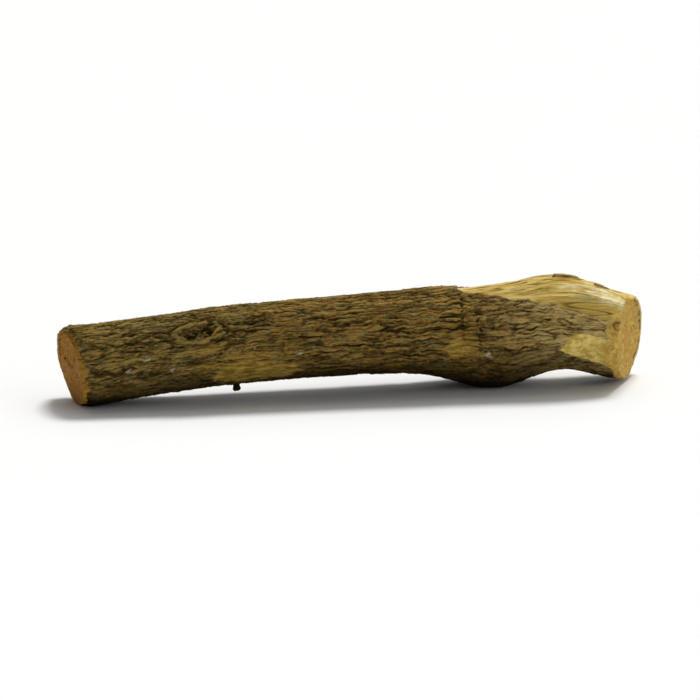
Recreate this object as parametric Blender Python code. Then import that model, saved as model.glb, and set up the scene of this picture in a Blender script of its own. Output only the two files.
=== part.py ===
"""A miswak stick: one cut length of branch in its bark, lying on its side.

Metres, +Z up. The stick lies along X with its thin end at -X, and it rests on the plane
z = 0 by the low edge of that end and by the belly of its node. The origin is on that plane,
under the middle of the stick's box. Angles run round the stick: 0 faces -Y, 90 faces up.
"""

import math

import bmesh
import bpy
from mathutils import Vector, noise

NAME = "miswak_stick"

# The two cuts: where each plane crosses the middle of the stick, and how far it leans
# along X for each metre towards +Y and each metre up
LEFT_CUT = (-0.0533, -0.20, -0.15)
RIGHT_CUT = (0.0536, 0.55, 0.03)

# How the stick changes along its length, as (place on X, value) points
UNDERSIDE_HEIGHT = (
    (-0.058, -0.0010), (-0.050, -0.0002), (-0.041, 0.0013), (-0.029, 0.0027), (-0.011, 0.0032),
    (0.004, 0.0031), (0.012, 0.0028), (0.018, 0.0017), (0.0255, -0.0011), (0.031, 0.0000),
    (0.035, 0.0018), (0.039, 0.0035), (0.045, 0.0024), (0.051, 0.0003), (0.060, -0.0002),
)
HALF_HEIGHT = (
    (-0.058, 0.0079), (-0.045, 0.0073), (-0.035, 0.0071), (-0.022, 0.0074), (0.000, 0.0077),
    (0.010, 0.0081), (0.017, 0.0088), (0.0255, 0.0109), (0.031, 0.0107), (0.039, 0.0097),
    (0.046, 0.0096), (0.053, 0.0090), (0.060, 0.0085),
)
HALF_DEPTH = (
    (-0.058, 0.0080), (-0.045, 0.0074), (-0.030, 0.0072), (0.000, 0.0076), (0.016, 0.0083),
    (0.0255, 0.0092), (0.034, 0.0087), (0.042, 0.0082), (0.060, 0.0084),
)
SIDEWAYS = (
    (-0.058, 0.0008), (-0.030, -0.0006), (0.000, 0.0002), (0.024, 0.0010), (0.060, -0.0016),
)
SOFTENING = 0.0035

# Slow swells of the section, as (height, waves round, waves for each metre along, start)
SWELLS = (
    (0.00022, 2, 42.0, 0.4),
    (0.00020, 3, -65.0, 1.9),
    (0.00012, 5, 110.0, 4.1),
)

# Bark that was stripped off the top, between a front and a back edge (place on X, angle)
STRIP_START = 0.0165
STRIP_FRONT = (
    (0.0165, 104.0), (0.021, 75.0), (0.028, 61.0), (0.033, 50.0), (0.038, 37.0), (0.045, 28.0),
    (0.060, 27.0),
)
STRIP_BACK = (
    (0.0165, 104.0), (0.022, 121.0), (0.030, 138.0), (0.040, 150.0), (0.060, 160.0),
)

# Bare or worn patches: place on X, angle, half length, half angle, depth below the bark
PATCHES = (
    (0.0503, -24.0, 0.0108, 30.0, 0.00050),
    (-0.0196, -34.0, 0.0090, 30.0, 0.00028),
    (0.0198, -8.0, 0.0038, 19.0, 0.00025),
    (-0.0190, 118.0, 0.0090, 24.0, 0.00055),
    (-0.0360, 196.0, 0.0080, 26.0, 0.00045),
)
BARK_DEPTH = 0.0008
EDGE_WIDTH = 0.0009

# The stripped top is split flat: the way it faces, and its distance as a share of the radius
FACET_ANGLE = 93.0
FACET_SHARE = 0.93

# Knots where a side twig grew: place on X, angle, half length, half width round the stick
KNOTS = (
    (-0.0303, 40.0, 0.0034, 0.0017),
    (0.0060, 206.0, 0.0038, 0.0022),
)
KNOT_LIP = 0.00055
KNOT_LIP_REACH = 1.1
KNOT_LIP_WIDTH = 0.45
KNOT_HOLLOW = 0.00075
KNOT_HOLLOW_WIDTH = 0.55

# Scars that ring the node: place on X, lean along X for each radian round, height. Each is a
# ridge with a groove beside it, and the leans are measured from the front
NODE_RINGS = (
    (0.0198, 0.0006, 0.00035),
    (0.0223, -0.0008, 0.00030),
)
RING_WIDTH = 0.0006
RING_FRONT = 40.0
RING_RIDGE_OFF = 1.2
RING_GROOVE = 0.8

# Furrows of the bark: two sets that wander across each other and leave long plates between
FURROW_COUNTS = (12, 13)
FURROW_DEPTH = 0.00075
FURROW_WIDTH = 0.55
FURROW_WAVER = 2.6
WAVER_LENGTH = 0.011
WAVER_ROUND = 1.5

# Fibres that stand up on bare wood: depth, number round the stick, turn along it
FIBRE_DEPTH = 0.00018
FIBRE_COUNT = 19
FIBRE_TWIST = 70.0

# The cut faces: depth and rate of their roughness, and their rings of points as radius shares
CUT_ROUGHNESS = 0.0005
CUT_GRAIN = 330.0
CUT_RINGS = (0.87, 0.72, 0.54, 0.32)
CUT_SHARE = 0.0001
RIM_SHARE = 0.99
PLAIN_REACH = 0.0085

# The flats it rests on have no bark relief up to this height
FLAT_FADE = 0.0008

POINTS_ROUND = 84
POINTS_ALONG = 56

BARK_COLOUR = (0.16, 0.115, 0.055, 1.0)
BARK_ROUGHNESS = 0.85
WOOD_COLOUR = (0.62, 0.45, 0.20, 1.0)
WOOD_ROUGHNESS = 0.7


def clear_scene():
    for old in list(bpy.data.objects):
        bpy.data.objects.remove(old, do_unlink=True)


def straight(place, curve):
    """The value of a curve of points at a place, with straight runs between its points."""
    before = curve[0]
    for after in curve:
        if place <= after[0]:
            if after is before:
                return after[1]
            share = (place - before[0]) / (after[0] - before[0])
            return before[1] + share * (after[1] - before[1])
        before = after
    return before[1]


def along(place, curve):
    """The same curve with its corners rounded off."""
    steps = (-1.0, -0.5, 0.0, 0.5, 1.0)
    return sum(straight(place + step * SOFTENING, curve) for step in steps) / len(steps)


def ramp(value, width):
    """0 below -width, 1 above width, and a smooth rise between."""
    share = min(max(0.5 + 0.5 * value / width, 0.0), 1.0)
    return share * share * (3.0 - 2.0 * share)


def turned(degrees, centre):
    """How far an angle is from a centre, the short way round, in degrees."""
    return (degrees - centre + 180.0) % 360.0 - 180.0


def plain_radius(place, degrees):
    """The radius of the stick without its bark relief."""
    depth, height = along(place, HALF_DEPTH), along(place, HALF_HEIGHT)
    turn = math.radians(degrees)
    radius = depth * height / math.hypot(height * math.cos(turn), depth * math.sin(turn))
    for rise, waves, rate, start in SWELLS:
        radius += rise * math.sin(waves * turn + rate * place + start)
    return radius


def stripped(place, degrees, radius):
    """1 where the bark was stripped off the top, 0 where it stays."""
    front = math.radians(turned(degrees, straight(place, STRIP_FRONT))) * radius
    back = -math.radians(turned(degrees, straight(place, STRIP_BACK))) * radius
    return ramp(min(front, back, place - STRIP_START), EDGE_WIDTH)


def patch_cover(place, degrees, radius, patch):
    """1 inside a patch, 0 outside."""
    middle, angle, half_length, half_angle, _depth = patch
    across = turned(degrees, angle) / half_angle
    reach = math.hypot((place - middle) / half_length, across)
    return ramp((1.0 - reach) * math.radians(half_angle) * radius, EDGE_WIDTH)


def bark_furrows(place, degrees):
    """Long plates of bark with furrows between: 0 on a plate, down to -1 in a furrow."""
    turn = math.radians(degrees)
    spot = Vector((
        place / WAVER_LENGTH, WAVER_ROUND * math.cos(turn), WAVER_ROUND * math.sin(turn)
    ))
    highest = FURROW_WIDTH
    for count in FURROW_COUNTS:
        waver = FURROW_WAVER * noise.noise(spot + Vector((count, 0.0, 0.0)))
        highest = min(highest, abs(math.sin(count * turn / 2.0 + waver)))
    return highest / FURROW_WIDTH - 1.0


def knot_relief(place, degrees, radius):
    """A raised lip round each knot and a hollow in its middle."""
    relief = 0.0
    for middle, angle, half_length, half_width in KNOTS:
        across = math.radians(turned(degrees, angle)) * radius
        reach = math.hypot((place - middle) / half_length, across / half_width)
        relief += KNOT_LIP * math.exp(-((reach - KNOT_LIP_REACH) / KNOT_LIP_WIDTH) ** 2)
        relief -= KNOT_HOLLOW * math.exp(-((reach / KNOT_HOLLOW_WIDTH) ** 2))
    return relief


def ring_relief(place, degrees):
    """The raised scars round the node."""
    turn = math.radians(turned(degrees, RING_FRONT))
    relief = 0.0
    for middle, lean, rise in NODE_RINGS:
        off = (place - middle - lean * math.sin(turn)) / RING_WIDTH
        ridge, groove = math.exp(-((off - RING_RIDGE_OFF) ** 2)), math.exp(-(off**2))
        relief += rise * (ridge - RING_GROOVE * groove)
    return relief


def split_flat(degrees):
    """How far the split top lies below a round one, as a share of the radius."""
    off_facet = math.cos(math.radians(turned(degrees, FACET_ANGLE)))
    return max(1.0 - FACET_SHARE / max(off_facet, FACET_SHARE), 0.0)


def bare_and_sunk(place, degrees, radius):
    """How bare of bark a spot is, from 0 to 1, and how far that sinks it."""
    bare = stripped(place, degrees, radius)
    sunk = bare * (BARK_DEPTH + split_flat(degrees) * radius)
    for patch in PATCHES:
        cover = patch_cover(place, degrees, radius, patch)
        bare = max(bare, cover)
        sunk = max(sunk, cover * patch[4])
    return bare, sunk


def surface_radius(place, degrees):
    """The radius with bark, stripped wood, patches, knots and scars."""
    radius = plain_radius(place, degrees)
    bare, sunk = bare_and_sunk(place, degrees, radius)
    turn = math.radians(degrees)
    barked = FURROW_DEPTH * bark_furrows(place, degrees)
    barked += knot_relief(place, degrees, radius) + ring_relief(place, degrees)
    fibres = FIBRE_DEPTH * math.sin(FIBRE_COUNT * turn + FIBRE_TWIST * place)
    relief = (1.0 - bare) * barked + bare * fibres
    height = middle_height(place) + radius * math.sin(turn)
    return radius - sunk + ramp(height - FLAT_FADE, FLAT_FADE) * relief


def middle_height(place):
    """The height of the stick's middle line."""
    return along(place, UNDERSIDE_HEIGHT) + along(place, HALF_HEIGHT)


def cut_place(cut, across, up):
    """Where a cut's plane crosses a line along the stick."""
    middle, lean_across, lean_up = cut
    return middle + lean_across * across + lean_up * up


def shaped(share, degrees, out):
    """The point of the stick for a share of its length, an angle and a share of its radius."""
    turn = math.radians(degrees)
    sideways, upward = -math.cos(turn), math.sin(turn)
    reach = out * PLAIN_REACH
    left = cut_place(LEFT_CUT, sideways * reach, upward * reach)
    right = cut_place(RIGHT_CUT, sideways * reach, upward * reach)
    place = left + share * (right - left)
    radius = out * surface_radius(place, degrees)
    if share < CUT_SHARE or share > 1.0 - CUT_SHARE:
        cut = LEFT_CUT if share < CUT_SHARE else RIGHT_CUT
        spot = Vector((cut[0], sideways * radius, upward * radius))
        place = cut_place(cut, spot.y, spot.z) + CUT_ROUGHNESS * noise.noise(spot * CUT_GRAIN)
    across = along(place, SIDEWAYS) + radius * sideways
    up = middle_height(place) + radius * upward
    return Vector((place, across, max(up, 0.0)))


def rod():
    """A unit rod along Z with even rings of points, and rings on its two end faces."""
    rod_mesh = bmesh.new()
    bmesh.ops.create_cone(
        rod_mesh, cap_ends=True, segments=POINTS_ROUND, radius1=1.0, radius2=1.0, depth=1.0
    )
    sides = [edge for edge in rod_mesh.edges if abs(edge.verts[0].co.z - edge.verts[1].co.z) > 0.5]
    bmesh.ops.subdivide_edges(rod_mesh, edges=sides, cuts=POINTS_ALONG - 1, use_grid_fill=True)
    outer = 1.0
    for inner in CUT_RINGS:
        caps = [face for face in rod_mesh.faces if len(face.verts) == POINTS_ROUND]
        for cap in caps:
            bmesh.ops.inset_region(rod_mesh, faces=[cap], thickness=outer - inner)
        outer = inner
    caps = [face for face in rod_mesh.faces if len(face.verts) == POINTS_ROUND]
    bmesh.ops.poke(rod_mesh, faces=caps)
    return rod_mesh


def shape_rod(rod_mesh):
    """Turns the unit rod into the stick. Returns its bare points: cut faces and bare wood."""
    bare_points = set()
    for point in rod_mesh.verts:
        share = point.co.z + 0.5
        degrees = math.degrees(math.atan2(point.co.y, -point.co.x))
        out = min(math.hypot(point.co.x, point.co.y), 1.0)
        out = 1.0 if out > RIM_SHARE else out
        point.co = shaped(share, degrees, out)
        bare = bare_and_sunk(point.co.x, degrees, plain_radius(point.co.x, degrees))[0]
        if out < 1.0 or bare > 0.5:
            bare_points.add(point)
    return bare_points


def centre_box(rod_mesh):
    """Centres the stick's box over the origin."""
    for axis in (0, 1):
        reach = [point.co[axis] for point in rod_mesh.verts]
        middle = (min(reach) + max(reach)) / 2.0
        for point in rod_mesh.verts:
            point.co[axis] -= middle


def material(name, colour, roughness):
    made = bpy.data.materials.new(name)
    made.use_nodes = True
    shader = made.node_tree.nodes["Principled BSDF"]
    shader.inputs["Base Color"].default_value = colour
    shader.inputs["Roughness"].default_value = roughness
    return made


def make_stick(collection):
    rod_mesh = rod()
    bare_points = shape_rod(rod_mesh)
    for face in rod_mesh.faces:
        face.material_index = int(any(point in bare_points for point in face.verts))
    centre_box(rod_mesh)
    mesh = bpy.data.meshes.new(NAME)
    rod_mesh.to_mesh(mesh)
    rod_mesh.free()
    mesh.shade_smooth()
    mesh.materials.append(material("bark", BARK_COLOUR, BARK_ROUGHNESS))
    mesh.materials.append(material("wood", WOOD_COLOUR, WOOD_ROUGHNESS))
    collection.objects.link(bpy.data.objects.new(NAME, mesh))


def main():
    clear_scene()
    collection = bpy.data.collections.new("miswak")
    bpy.context.scene.collection.children.link(collection)
    make_stick(collection)


main()
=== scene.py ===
import itertools
import math

import bpy
import numpy as np
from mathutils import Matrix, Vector


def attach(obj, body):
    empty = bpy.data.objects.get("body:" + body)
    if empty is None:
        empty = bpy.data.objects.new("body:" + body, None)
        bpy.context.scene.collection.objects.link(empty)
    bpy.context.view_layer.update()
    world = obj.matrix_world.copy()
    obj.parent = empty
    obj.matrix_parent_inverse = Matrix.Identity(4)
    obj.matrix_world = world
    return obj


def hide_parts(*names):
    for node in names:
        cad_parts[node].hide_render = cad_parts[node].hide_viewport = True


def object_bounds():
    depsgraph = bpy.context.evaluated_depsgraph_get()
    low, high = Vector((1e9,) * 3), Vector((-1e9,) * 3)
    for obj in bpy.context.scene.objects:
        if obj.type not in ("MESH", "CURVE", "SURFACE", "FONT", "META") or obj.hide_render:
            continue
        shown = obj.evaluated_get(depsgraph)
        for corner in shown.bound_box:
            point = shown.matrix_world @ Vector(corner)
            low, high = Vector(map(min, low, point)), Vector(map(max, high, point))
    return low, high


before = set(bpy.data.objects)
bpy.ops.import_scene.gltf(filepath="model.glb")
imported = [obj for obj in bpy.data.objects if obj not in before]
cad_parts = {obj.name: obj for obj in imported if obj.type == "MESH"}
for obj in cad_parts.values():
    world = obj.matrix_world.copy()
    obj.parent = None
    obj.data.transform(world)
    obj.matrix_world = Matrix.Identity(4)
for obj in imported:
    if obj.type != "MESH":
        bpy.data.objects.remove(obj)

CAD_LOW, CAD_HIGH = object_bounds()
NODE = "miswak_stick"
MM = 0.001

# The stick's form, as in the model of its solid. Angles run round the stick: 0 faces -Y,
# 90 faces up. Each cut is where its plane crosses the middle line, and its lean across and up
LEFT_CUT = (-0.0533, -0.20, -0.15)
RIGHT_CUT = (0.0536, 0.55, 0.03)
# The stick's usual radius at its cuts, and for patterns that run round it
PLAIN_REACH = 0.0085
GIRTH = 8.0 * MM

# Curves along the stick, each as (place on X, value) points: the height of its underside, half
# its height, half its depth, and how far its middle lies sideways
UNDERSIDE_HEIGHT = (
    (-0.058, -0.0010), (-0.050, -0.0002), (-0.041, 0.0013), (-0.029, 0.0027), (-0.011, 0.0032),
    (0.004, 0.0031), (0.012, 0.0028), (0.018, 0.0017), (0.0255, -0.0011), (0.031, 0.0000),
    (0.035, 0.0018), (0.039, 0.0035), (0.045, 0.0024), (0.051, 0.0003), (0.060, -0.0002),
)
HALF_HEIGHT = (
    (-0.058, 0.0079), (-0.045, 0.0073), (-0.035, 0.0071), (-0.022, 0.0074), (0.000, 0.0077),
    (0.010, 0.0081), (0.017, 0.0088), (0.0255, 0.0109), (0.031, 0.0107), (0.039, 0.0097),
    (0.046, 0.0096), (0.053, 0.0090), (0.060, 0.0085),
)
HALF_DEPTH = (
    (-0.058, 0.0080), (-0.045, 0.0074), (-0.030, 0.0072), (0.000, 0.0076), (0.016, 0.0083),
    (0.0255, 0.0092), (0.034, 0.0087), (0.042, 0.0082), (0.060, 0.0084),
)
SIDEWAYS = (
    (-0.058, 0.0008), (-0.030, -0.0006), (0.000, 0.0002), (0.024, 0.0010), (0.060, -0.0016),
)
# The height of the line that the grain of the bark and the wood runs along
GRAIN_MIDDLE = (
    (-0.058, 0.0069), (-0.035, 0.0091), (-0.022, 0.0104), (0.000, 0.0108), (0.018, 0.0111),
    (0.034, 0.0113), (0.046, 0.0105), (0.060, 0.0084),
)
# How far along the stick the corners of these curves are rounded off
SOFTENING = 0.0035
# Broad swells: height, waves round the stick, turn for each metre along it, and start
SWELLS = (
    (0.00022, 2, 42.0, 0.4),
    (0.00020, 3, -65.0, 1.9),
    (0.00012, 5, 110.0, 4.1),
)

# The stripped top: where it starts, and the angles of its front and its back edge along it
STRIP_START = 0.0165
STRIP_FRONT = (
    (0.0165, 104.0), (0.021, 73.0), (0.028, 57.0), (0.033, 44.0), (0.038, 29.0), (0.0415, 22.0),
    (0.046, 20.0),
)
STRIP_BACK = (
    (0.0165, 104.0), (0.022, 121.0), (0.030, 138.0), (0.040, 150.0), (0.060, 160.0),
)
# It is split flat: the angle that the flat faces, and its distance as a share of the radius
FACET_ANGLE = 93.0
FACET_SHARE = 0.93
# How much thinner the wood is than the stick, and how far the bark stops short of the cuts
BARK_DEPTH = 0.8 * MM
BARK_GAP = 0.60 * MM

# Places with no bark: place on X, angle, half length, half angle, and how blunt the outline
# is. With 2 it is an ellipse, with less its ends are pointed and with more it is fuller
END_PATCH = (0.0462, -28.5, 0.0070, 20.5, 2.4)
END_WIDE = (0.0558, -24.0, 0.0086, 40.0, 2.0)
END_TIP = (0.0545, 12.0, 0.0066, 20.0, 2.4)
END_CORNER = (0.0585, -68.0, 0.0088, 40.0, 1.6)
FAR_RIM = (0.0590, 205.0, 0.0050, 62.0, 2.0)
SMOOTH_PATCHES = (END_PATCH, END_WIDE, END_TIP, END_CORNER)
BARE_PATCHES = (*SMOOTH_PATCHES, FAR_RIM)
# Places where the bark is worn smooth, with how far that sinks them and how worn they are
WORN_PATCHES = (
    (-0.0194, -37.0, 0.0080, 25.0, 2.3, 0.28 * MM, 1.00),
    (-0.0228, -20.0, 0.0076, 20.0, 2.0, 0.20 * MM, 0.45),
    (-0.0288, 11.0, 0.0036, 5.0, 1.6, 0.05 * MM, 0.90),
    (0.0186, -9.0, 0.0020, 15.0, 2.0, 0.22 * MM, 0.95),
    (0.0213, -7.0, 0.0018, 17.0, 2.4, 0.22 * MM, 0.60),
    (0.0211, 30.0, 0.0012, 24.0, 2.4, 0.12 * MM, 0.35),
    (-0.0190, 118.0, 0.0090, 22.0, 1.7, 0.42 * MM, 0.90),
    (-0.0360, 196.0, 0.0080, 24.0, 1.7, 0.36 * MM, 0.90),
)
# A crumbly cream place and a green one on the stripped top
CREAM_PATCH = (0.0466, 56.0, 0.0052, 15.0, 2.0)
GREEN_PATCH = (0.0440, 43.0, 0.0024, 6.0, 2.0)
# A curved nick in the wood by the right cut: place on X and angle of its middle, radius, width
NICK = (0.0500, 15.0, 1.40 * MM, 0.17 * MM)
# Scraps of bark left on the stripped top
SCRAPS = (
    (0.0409, 95.0, 0.0029, 7.0, 1.8),
    (0.0478, 79.0, 0.0014, 5.0, 1.8),
)

# Knots: place on X, angle, half length, half width
KNOTS = (
    (-0.0303, 40.0, 0.0034, 0.0017),
    (0.0060, 206.0, 0.0038, 0.0022),
)
# Scars round the node: place on X, how far it leans along the stick, and the middle and half
# of the angle in which its pits show best
NODE_RINGS = (
    (0.0198, 0.0006, 38.0, 27.0),
    (0.0225, -0.0006, 19.0, 22.0),
)
# The angle at which a scar lies in its place, its width, and the degrees from pit to pit
RING_ANGLE = 40.0
RING_WIDTH = 0.6 * MM
PIT_SPACING = 9.5
# The relief grows from the floor up to twice this height
FLAT_FADE = 0.8 * MM

# Small pale specks on the bark: place on X, angle, radius
SPECKS = (
    (-0.0112, -7.0, 0.40 * MM),
    (0.0245, -13.4, 0.40 * MM),
    (-0.0395, 12.0, 0.30 * MM),
    (-0.0350, -12.0, 0.35 * MM),
    (-0.0432, -4.0, 0.30 * MM),
)
# The stub of a twig under the stick: place on X, angle, radius and length
STUB = (-0.0224, -80.0, 0.76 * MM, 1.35 * MM)
# Its outline, as shares of the length and of the radius
STUB_PROFILE = (
    (-1.2, 1.3), (-0.3, 1.05), (0.10, 0.80), (0.32, 0.84), (0.52, 1.0), (0.72, 0.95), (0.87, 0.70),
    (0.96, 0.38),
)

# Cracks in the cut faces: angle from +Y, and how far from the pith they start and end
PITH_CRACKS = (
    (20.0, 0.4 * MM, 4.5 * MM),
    (140.0, 0.0, 3.6 * MM),
    (255.0, 0.6 * MM, 5.4 * MM),
)

# How far along the pattern of bark plates each place is: the plates are longest in the middle
PLATE_RUN = (
    (-0.060, 0.0000), (-0.020, 0.0533), (-0.005, 0.0696), (0.016, 0.0887), (0.024, 0.0976),
    (0.060, 0.1490),
)
# How strong each sort of bark relief is, as (place on X, strength) points
CRACK_STRENGTH = ((-0.058, 0.72), (-0.015, 0.85), (0.005, 1.0))
ROUGH_STRENGTH = ((-0.058, 0.095), (-0.020, 0.080), (0.005, 0.045), (0.060, 0.040))
THREAD_STRENGTH = ((-0.058, 0.03), (-0.020, 0.04), (0.005, 0.07), (0.060, 0.08))

# Splinters: the least and the most of their place on X, angle, length, half width and lift of
# the far end in millimetres, and turn along them in degrees
SPLINTERS = 50
SPLINTER_RANGES = (
    (0.019, 0.050), (25.0, 155.0), (2.5, 9.0), (0.10, 0.24), (-0.02, 0.28), (-3.0, 3.0),
)

# Points round each piece, rows along it and rows in each cut face
BARK_ROUND, BARK_ROWS, BARK_SECTIONS = 480, 202, 3
WOOD_ROUND, WOOD_ROWS = 320, 240
END_ROWS = 34
STUB_ROUND, SPLINTER_ROWS = 20, 10
# The closed ends of the bark's sections lie inside them: how deep, and how wide as a share
INNER_END = 1.5 * MM
INNER_END_SHARE = 0.7
SEED = 7


# Shapes shared by the pieces

def straight(place, curve):
    """The value of a curve of points at each place, with straight runs between its points."""
    places, values = zip(*curve)
    return np.interp(place, places, values)


def along(place, curve):
    """The same curve with its corners rounded off."""
    steps = (-1.0, -0.5, 0.0, 0.5, 1.0)
    return sum(straight(place + step * SOFTENING, curve) for step in steps) / len(steps)


def ramp(value, width):
    """0 below -width, 1 above width, and a smooth rise between."""
    share = np.clip(0.5 + 0.5 * value / width, 0.0, 1.0)
    return share * share * (3.0 - 2.0 * share)


def turned(degrees, centre):
    """How far an angle is from a centre, the short way round, in degrees."""
    return (degrees - centre + 180.0) % 360.0 - 180.0


def plain_radius(place, degrees):
    """The radius of the stick without its relief."""
    depth, height = along(place, HALF_DEPTH), along(place, HALF_HEIGHT)
    turn = np.radians(degrees)
    radius = depth * height / np.hypot(height * np.cos(turn), depth * np.sin(turn))
    for rise, waves, rate, start in SWELLS:
        radius = radius + rise * np.sin(waves * turn + rate * place + start)
    return radius


def middle_height(place):
    """The height of the stick's middle above the floor."""
    return along(place, UNDERSIDE_HEIGHT) + along(place, HALF_HEIGHT)


def inside_strip(place, degrees, radius):
    """How far inside the stripped top a spot is, in metres; negative outside."""
    front = np.radians(turned(degrees, straight(place, STRIP_FRONT))) * radius
    back = -np.radians(turned(degrees, straight(place, STRIP_BACK))) * radius
    return np.minimum(np.minimum(front, back), place - STRIP_START)


def inside_patch(place, degrees, radius, patch):
    """How far inside a patch a spot is, in metres; negative outside."""
    middle, angle, half_length, half_angle, bluntness = patch
    ahead, aside = np.abs(place - middle) / half_length, np.abs(turned(degrees, angle)) / half_angle
    reach = (ahead**bluntness + aside**bluntness) ** (1.0 / bluntness)
    return (1.0 - reach) * math.radians(half_angle) * radius


def inside_smooth(place, degrees, radius):
    """How far inside the smooth bare patches of the thick end a spot is."""
    return np.max([inside_patch(place, degrees, radius, patch) for patch in SMOOTH_PATCHES], 0)


def flat_top(degrees, radius):
    """How far the split top lies below a round one."""
    off_facet = np.cos(np.radians(turned(degrees, FACET_ANGLE)))
    return radius * np.maximum(1.0 - FACET_SHARE / np.maximum(off_facet, FACET_SHARE), 0.0)


def grain_angle(place, degrees, radius):
    """A spot's angle round the line of the grain, which is straighter than the stick."""
    turn = np.radians(degrees)
    up = middle_height(place) - along(place, GRAIN_MIDDLE) + radius * np.sin(turn)
    return np.degrees(np.arctan2(up, radius * np.cos(turn)))


def off_floor(place, degrees, radius):
    """1 away from the floor, 0 on the flats that the stick rests on."""
    height = middle_height(place) + radius * np.sin(np.radians(degrees))
    return ramp(height - FLAT_FADE, FLAT_FADE)


# Noise

GRADIENTS = np.array([
    way for way in itertools.product((-1.0, 0.0, 1.0), repeat=3) if way.count(0.0) == 1
])


def hashed(cells, seed):
    """An even random number from 0 to 1 for each whole-numbered cell."""
    mixed = cells[..., 0] * 73856093 ^ cells[..., 1] * 19349663 ^ cells[..., 2] * 83492791
    mixed = (mixed ^ seed * 2654435761) & 0xFFFFFFFF
    mixed = (mixed ^ mixed >> 15) * 2246822519 & 0xFFFFFFFF
    mixed = (mixed ^ mixed >> 13) * 3266489917 & 0xFFFFFFFF
    return (mixed ^ mixed >> 16) / 4294967296.0


def noise(points, seed):
    """Smooth noise, about -1 to 1."""
    base = np.floor(points).astype(np.int64)
    part = points - base
    fade = part**3 * (part * (part * 6.0 - 15.0) + 10.0)
    total = np.zeros(points.shape[:-1])
    for corner in itertools.product((0, 1), repeat=3):
        pick = (hashed(base + np.array(corner), seed) * len(GRADIENTS)).astype(int)
        slope = ((part - np.array(corner)) * GRADIENTS[pick]).sum(-1)
        total += slope * np.where(corner, fade, 1.0 - fade).prod(-1)
    return total * 1.5


def layered(points, seed, octaves):
    """Noise with finer and weaker noise added to it."""
    total, weight = 0.0, 1.0
    for step in range(octaves):
        total = total + weight * noise(points * 2.03**step, seed + 11 * step)
        weight *= 0.5
    return total


def cells(points, seed):
    """Scattered cells: the extra distance to the second nearest centre, how far the border
    between the two runs along the stick, and a random number for the nearest cell."""
    base = np.floor(points).astype(np.int64)
    nearest = np.full(points.shape[:-1], 9.0)
    second = nearest.copy()
    tone = np.zeros_like(nearest)
    near_place, next_place = tone.copy(), tone.copy()
    for corner in itertools.product((-1, 0, 1), repeat=3):
        cell = base + np.array(corner)
        centre = cell + np.stack([hashed(cell, seed + axis) for axis in range(3)], -1)
        distance = np.linalg.norm(points - centre, axis=-1)
        closer, close = distance < nearest, distance < second
        next_place = np.where(closer, near_place, np.where(close, centre[..., 0], next_place))
        second = np.where(closer, nearest, np.minimum(second, distance))
        near_place = np.where(closer, centre[..., 0], near_place)
        tone = np.where(closer, hashed(cell, seed + 3), tone)
        nearest = np.where(closer, distance, nearest)
    return second - nearest, 1.0 - np.abs(next_place - near_place) / (nearest + second), tone


def skin(place, degrees, length, width):
    """Points on a straight rod of the stick's size, measured in steps of a length along it
    and a width round it, to take noise at."""
    turn = np.radians(degrees)
    across, up = GIRTH * np.cos(turn) / width, GIRTH * np.sin(turn) / width
    return np.stack([place / length, across, up], -1)


def wave(place, degrees, kind, number=0, octaves=1):
    """Noise over the skin. A kind is its strength, the length and width of one bump in
    millimetres, and a seed. Each number gives another one of that kind."""
    strength, length, width, seed = kind
    points = skin(place, degrees, length * MM, width * MM)
    return strength * layered(points, SEED + seed + number, octaves)


# Bark

# Kinds of noise: strength, length and width of a bump in millimetres, seed. These bend the
# lines of the bark
FLOW_BEND = (2.6, 4.0, 2.5, 1)
FLOW_TREMBLE = (1.4, 1.5, 1.0, 9)
FURROW_BEND = (1.9, 11.0, 4.0, 30)
FURROW_TREMBLE = (0.45, 3.0, 1.5, 35)
# These make the relief and say where it is strong
CRACK_PLACES = (1.0, 5.0, 2.2, 8)
GROOVE_PLACES = (1.0, 5.0, 1.5, 33)
THREADS = (1.0, 3.5, 0.34, 36)
ROUGHNESS = (1.0, 0.75, 0.40, 40)
SCALES = (1.0, 3.2, 0.95, 45)
SCALE_EDGES = (0.35, 1.0, 0.4, 46)
KNOT_EDGES = (0.20, 1.5, 0.9, 50)
KNOT_LUMPS = (1.0, 0.75, 0.45, 55)
RING_WANDER = (0.35 * MM, 8.0, 1.0, 60)
PIT_WANDER = (0.3, 8.0, 1.6, 64)
# These tear the edges of the bark, of its outer layer, of its worn places and of its colours
CHIPS = (0.45 * MM, 1.0, 2.6, 70)
TEARS = (0.55, 4.5, 1.0, 71)
SMALL_TEARS = (0.28, 1.8, 0.42, 72)
LAYER_TEARS = (0.45 * MM, 2.5, 0.7, 73)
WORN_TEARS = (0.45 * MM, 3.0, 0.8, 74)
PALE_DRIFT = (4.0 * MM, 6.0, 3.0, 75)
SPECK_EDGES = (0.7, 0.6, 0.35, 76)

# Plates: the cracks' width as a share of one, length and width in millimetres, seed
PLATES = (0.085, 5.2, 0.95, 2)
SMALL_PLATES = (0.10, 2.6, 0.52, 20)
# How many furrows run round the stick, in two crossing sets
FURROW_COUNTS = (30, 33)
# Depths and heights of the relief in millimetres
CRACK_DEPTH, SMALL_CRACK_DEPTH, GROOVE_DEPTH = 0.27, 0.10, 0.14
PLATE_STEP, SMALL_PLATE_STEP = 0.10, 0.05
KNOT_RIM, KNOT_HOLLOW, KNOT_GROOVE = 0.34, 0.34, 0.22
RING_RIDGE, PIT_DEPTH, RING_CREASE = 0.16, 0.45, 0.4
# How deep a scale that has come off is, and how thick a scrap of bark
SCALE_DEPTH, SCRAP_DEPTH = 0.16 * MM, 0.45 * MM
# The limit over which a thin scale has come off, as (place on X, limit) points
SCALE_LIMIT = ((-0.058, 0.10), (-0.012, 0.34), (0.060, 0.62))
# How strongly lines are pushed away from a knot, and how far out
KNOT_PUSH, KNOT_PUSH_REACH = 0.8, 2.6


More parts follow.
